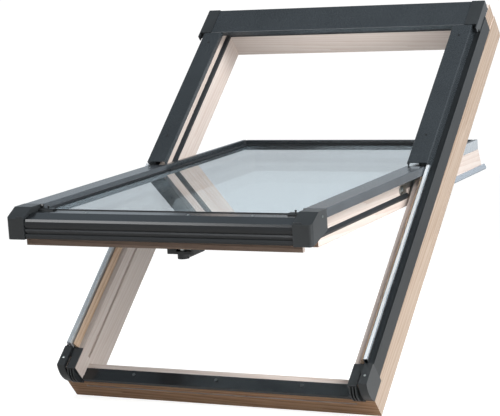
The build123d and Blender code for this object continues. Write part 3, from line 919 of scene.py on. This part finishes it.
    def add_clips(self) -> None:
        """Add the moulded clips that close the corners between the caps and the side covers."""
        clips = Solid("corner_clips")
        back = self.cover_span[0]
        low = self.cover_top
        near, far = self.clip_span
        inward, down, lift = self.clip_pin_place
        for sign in SIDES.values():
            clips.prism(Lay.ACROSS, placed(self.clip_foot, back, low), sign * near, sign * far)
            clips.prism(Lay.ACROSS, placed(self.clip_post, back, low), sign * (far - self.clip_post_width),
                        sign * far)
            clips.turned(Lay.OUTWARD, (sign * (near + inward), back + down), low + lift, self.clip_pin)
        clips.build(Rider.SASH, Slot.PLASTIC, self.finishes.black, edge_mm=0.5)

    def add_tongues(self) -> None:
        """Add the tongues at the side covers' upper ends, which close the gap to the fixed covers."""
        tongues = Solid("cover_tongues")
        inner = self.cover_inner
        start = self.cover_span[1]
        end = start + self.tongue_reach
        outline = [(inner, start), (inner, end - self.tongue_chamfer), (inner + self.tongue_chamfer, end),
                   (STILE_OUTER, end), (STILE_OUTER + self.tongue_slant, start)]
        low = self.side_top - self.tongue_thickness
        for sign in SIDES.values():
            tongues.prism(Lay.OUTWARD, placed(outline, 0.0, 0.0, sign), low, self.side_top)
        tongues.build(Rider.SASH, Slot.COATED, self.finishes.cover, edge_mm=0.3)

    def add_bar_corners(self) -> None:
        """Add the moulded corners that join the glazing bars' crowns."""
        corners = Solid("bar_corners")
        across, up = self.bar_crown
        inner = self.bar_inner
        chamfer = self.bar_corner_chamfer
        outline = [(inner, up), (across - chamfer, up), (across, up - chamfer), (across, self.bar_end),
                   (inner, self.bar_end)]
        low = self.glass_top + self.bar_corner_lift
        for sign in SIDES.values():
            corners.prism(Lay.OUTWARD, placed(outline, 0.0, 0.0, sign), low, self.bar_top)
        corners.build(Rider.SASH, Slot.COATED, self.finishes.cover, edge_mm=0.4)

    def add_weather_strips(self) -> None:
        """Add the weather strips along the upper half of the stiles, painted pale grey as painted light."""
        strips = Solid("weather_strips")
        for sign in SIDES.values():
            strips.prism(Lay.ALONG, placed(self.strip_section, STILE_OUTER, 0.0, sign), *self.strip_span)
        strips.build(Rider.SASH, Slot.RUBBER, self.finishes.strip, edge_mm=0.4)


@dataclass
class PivotHinges(Assembly):
    """The two friction hinges."""

    pivot_up: float = 598.0
    pivot_out: float = 123.0
    plate_face: float = 340.0
    screw_reach: float = 30.0
    screw_out: float = 103.0
    screw_size: Point = (3.8, 1.1)
    washer_faces: Point = (338.1, 339.9)
    washer_radii: Point = (6.3, 10.0)
    washer_chamfer: Point = (0.5, 0.4)
    knuckle: Point = (526.0, 96.0)
    knuckle_radius: float = 11.0
    knuckle_steps: int = 10
    knuckle_end: float = 552.9
    knuckle_face: float = 338.9
    bolt: Outline = ((9.0, 0.0), (9.0, 0.8), (6.6, 1.0), (6.6, 2.8), (5.6, 3.5), (2.8, 3.5), (2.5, 1.6),
                     (0.2, 1.5))

    def dress(self) -> None:
        """Plate the hinge straps and pins."""
        straps = ("frame_{side}_hinge", "sash_{side}_hinge", "{side}_pivot_pin")
        self.coat(self.finishes.steel, *straps, edge_mm=0.5)

    def build(self) -> None:
        """Add the strap screws, the spring washers between the straps, and the knuckles."""
        screws = Solid("hinge_screws")
        washers = Solid("spring_washers")
        start, end = self.washer_faces
        thick = end - start
        bore, rim = self.washer_radii
        inset, drop = self.washer_chamfer
        ring = [(bore, 0.0), (rim - inset, 0.0), (rim, drop), (rim, thick - drop), (rim - inset, thick),
                (bore, thick)]
        for sign in SIDES.values():
            for reach in (-self.screw_reach, self.screw_reach):
                place = (self.pivot_up + reach, self.screw_out)
                screws.screw(Lay.ACROSS, place, sign * self.plate_face, self.screw_size, -sign)
            washers.turned(Lay.ACROSS, (self.pivot_up, self.pivot_out), sign * start, ring, sign)
        screws.build(Rider.FRAME, Slot.STEEL, self.finishes.steel, edge_mm=0.2)
        washers.build(Rider.FRAME, Slot.STEEL, self.finishes.steel, edge_mm=0.1)
        self.add_knuckles()

    def add_knuckles(self) -> None:
        """Add the straps' rounded lower ends with their stop bolts."""
        straps = Solid("hinge_knuckles")
        up, out = self.knuckle
        radius = self.knuckle_radius
        outline = [(self.knuckle_end, out + radius), (self.knuckle_end, out - radius)]
        for i in range(self.knuckle_steps + 1):
            angle = -math.pi / 2 - math.pi * i / self.knuckle_steps
            outline.append((up + radius * math.cos(angle), out + radius * math.sin(angle)))
        for sign in SIDES.values():
            straps.prism(Lay.ACROSS, outline, sign * STILE_OUTER, sign * self.knuckle_face)
            straps.turned(Lay.ACROSS, self.knuckle, sign * self.knuckle_face, self.bolt, sign)
        straps.build(Rider.SASH, Slot.STEEL, self.finishes.steel, edge_mm=0.3)


@dataclass
class SashLock(Assembly):
    """The lock on the sash's bottom rail and its keeper on the sill."""

    def dress(self) -> None:
        """Finish the lock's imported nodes."""
        self.coat(self.finishes.black, "lock_body", "handle_lever", edge_mm=1.2)
        self.coat(self.finishes.steel, "handle_spindle", "lock_cam", "striker", edge_mm=0.4)


@dataclass(frozen=True)
class Lamp:
    """A soft lamp in metres, hidden from glass, and from shiny faces unless it is there to be mirrored."""

    name: str
    place: Place
    aim: Place
    size: Point
    watts: float
    spread_deg: float = 180.0
    mirrored: bool = False

    def build(self) -> None:
        """Hang the lamp and turn it to its aim."""
        data = bpy.data.lights.new(self.name, "AREA")
        data.shape = "RECTANGLE"
        data.size, data.size_y = self.size
        data.spread = math.radians(self.spread_deg)
        data.energy = self.watts
        lamp = bpy.data.objects.new(self.name, data)
        bpy.context.scene.collection.objects.link(lamp)
        lamp.location = self.place
        lamp.rotation_euler = (Vector(self.aim) - Vector(self.place)).to_track_quat("-Z", "Y").to_euler()
        lamp.visible_glossy = self.mirrored
        lamp.visible_diffuse = not self.mirrored
        lamp.visible_transmission = False


@dataclass
class Studio:
    """Floor, light and camera of a plain white studio."""

    photo_width_px: float = 500.0
    sensor_mm: float = 36.0
    focal_px: float = 1819.25
    camera_reach_m: float = 100.0
    # The camera's place, right and up on the closed window
    camera_mm: Place = (1887.0, -2037.8, 3111.4)
    right: Place = (0.8961, 0.299, -0.328)
    above: Place = (-0.0152, 0.7592, 0.6506)
    white: str = "#ffffff"
    white_strength: float = 1.05
    floor_m: float = 60.0
    floor_far: str = "#868685"
    floor_near: str = "#e6e6e5"
    floor_mirror_share: float = 0.35
    floor_glow_strength: float = 1.62
    floor_glow_share: float = 0.5
    ambient: str = "#f4f6f8"
    ambient_strengths: Point = (0.22, 0.75)
    sky_heights: Point = (0.05, 0.75)
    sky_stops: tuple[tuple[float, str], ...] = ((0.0, "#e8edf1"), (0.57, "#b2c0cb"), (1.0, "#98a3ab"))
    lamps: tuple[Lamp, ...] = (
        Lamp("key", (3.0, -1.2, 2.6), (0.0, 0.3, 0.5), (2.2, 2.2), 185.0),
        Lamp("low_fill", (2.6, -1.0, 0.5), (-0.3, 0.0, 0.25), (1.2, 1.2), 48.0),
        Lamp("room_fill", (-0.8, 3.2, 1.9), (0.0, 0.3, 0.5), (2.0, 2.0), 60.0),
        # The ribs of the bottom cover mirror this one as bright lines
        Lamp("strip", (-1.04, -1.82, 1.25), (0.0, -0.34, 0.41), (2.4, 0.9), 40.0, mirrored=True),
        # The glass throws a patch of light up at the head's inner face
        Lamp("glass_glow", (0.0, 0.42, 0.74), (0.0, 0.74, 0.9), (0.55, 0.15), 0.42, spread_deg=100.0),
    )

    def build(self) -> None:
        """Set up the whole studio."""
        self.add_camera()
        self.add_floor()
        self.add_world()
        for lamp in self.lamps:
            lamp.build()
        bpy.context.scene.view_settings.view_transform = "Standard"

    def add_camera(self) -> None:
        """Place the camera at the photo's viewpoint."""
        data = bpy.data.cameras.new("photo_view")
        data.sensor_width = self.sensor_mm
        data.lens = self.focal_px * self.sensor_mm / self.photo_width_px
        data.clip_end = self.camera_reach_m
        camera = bpy.data.objects.new("photo_view", data)
        bpy.context.scene.collection.objects.link(camera)
        turn = AXES.turn(Rider.FRAME).to_3x3()
        right = (turn @ Vector(self.right)).normalized()
        back = right.cross(turn @ Vector(self.above)).normalized()
        matrix = Matrix((right, back.cross(right), back)).transposed().to_4x4()
        matrix.translation = AXES.matrix(Rider.FRAME) @ (Vector(self.camera_mm) * MM)
        camera.matrix_world = matrix
        bpy.context.scene.camera = camera

    def add_floor(self) -> None:
        """Lay a floor under the window, white to the camera apart from a faint shadow."""
        mesh = bpy.data.meshes.new("floor")
        half = self.floor_m / 2
        low = CAD_BOX[0][2]
        mesh.from_pydata([(-half, -half, low), (half, -half, low), (half, half, low), (-half, half, low)], [],
                         [(0, 1, 2, 3)])
        floor = bpy.data.objects.new("floor", mesh)
        bpy.context.scene.collection.objects.link(floor)
        material = bpy.data.materials.new("pale_floor")
        material.use_nodes = True
        tree = material.node_tree
        tree.nodes.clear()
        path = add_node(tree, "ShaderNodeLightPath").outputs
        clear = add_node(tree, "ShaderNodeMath", {0: path["Is Camera Ray"], 1: path["Is Transmission Ray"]},
                         operation="MAXIMUM")
        mirrored = add_node(tree, "ShaderNodeMath", {0: path["Is Glossy Ray"]}, {1: self.floor_mirror_share},
                            operation="MULTIPLY")
        seen = add_node(tree, "ShaderNodeMath", {0: clear.outputs[0], 1: mirrored.outputs[0]},
                        operation="MAXIMUM")
        tint = add_node(tree, "ShaderNodeValToRGB", {"Fac": seen.outputs[0]},
                        stops=((0.0, self.floor_far), (1.0, self.floor_near)))
        paint = add_node(tree, "ShaderNodeBsdfDiffuse", {"Color": tint.outputs["Color"]})
        glow = add_node(tree, "ShaderNodeEmission",
                        values={"Color": linear(self.white), "Strength": self.floor_glow_strength})
        share = add_node(tree, "ShaderNodeMath", {0: seen.outputs[0]}, {1: self.floor_glow_share},
                         operation="MULTIPLY")
        mix = add_node(tree, "ShaderNodeMixShader",
                       {0: share.outputs[0], 1: paint.outputs[0], 2: glow.outputs[0]})
        add_node(tree, "ShaderNodeOutputMaterial", {"Surface": mix.outputs["Shader"]})
        mesh.materials.append(material)

    def add_world(self) -> None:
        """White behind the window, and a pale sky that the glass and the covers mirror."""
        world = bpy.data.worlds.new("studio")
        bpy.context.scene.world = world
        world.use_nodes = True
        tree = world.node_tree
        tree.nodes.clear()
        path = add_node(tree, "ShaderNodeLightPath").outputs
        way = add_node(tree, "ShaderNodeTexCoord").outputs["Generated"]
        height = add_node(tree, "ShaderNodeSeparateXYZ", {"Vector": way})
        rise = add_node(tree, "ShaderNodeMapRange", {"Value": height.outputs["Z"]},
                        {"From Min": self.sky_heights[0], "From Max": self.sky_heights[1]})
        mirrored = add_node(tree, "ShaderNodeValToRGB", {"Fac": rise.outputs["Result"]}, stops=self.sky_stops)
        level = add_node(tree, "ShaderNodeMapRange", {"Value": height.outputs["Z"]},
                         {"To Min": self.ambient_strengths[0], "To Max": self.ambient_strengths[1]})
        ambient = add_node(tree, "ShaderNodeBackground", {"Strength": level.outputs["Result"]},
                           {"Color": linear(self.ambient)})
        sky = add_node(tree, "ShaderNodeBackground", {"Color": mirrored.outputs["Color"]})
        white = add_node(tree, "ShaderNodeBackground",
                         values={"Color": linear(self.white), "Strength": self.white_strength})
        lit = add_node(tree, "ShaderNodeMixShader",
                       {0: path["Is Glossy Ray"], 1: ambient.outputs[0], 2: sky.outputs[0]})
        seen = add_node(tree, "ShaderNodeMath", {0: path["Is Camera Ray"], 1: path["Is Transmission Ray"]},
                        operation="MAXIMUM")
        mix = add_node(tree, "ShaderNodeMixShader",
                       {0: seen.outputs[0], 1: lit.outputs[0], 2: white.outputs[0]})
        add_node(tree, "ShaderNodeOutputWorld", {"Surface": mix.outputs[0]})


def main() -> None:
    """Dress the window, add its small pieces and set up the studio."""
    logging.basicConfig(level=logging.INFO)
    finishes = Finishes()
    assemblies = [kind(finishes) for kind in (TimberFrame, FrameCovers, Sash, PivotHinges, SashLock)]
    for assembly in assemblies:
        assembly.dress()
    for assembly in assemblies:
        assembly.build()
    Studio().build()


if __name__ == "__main__":
    main()
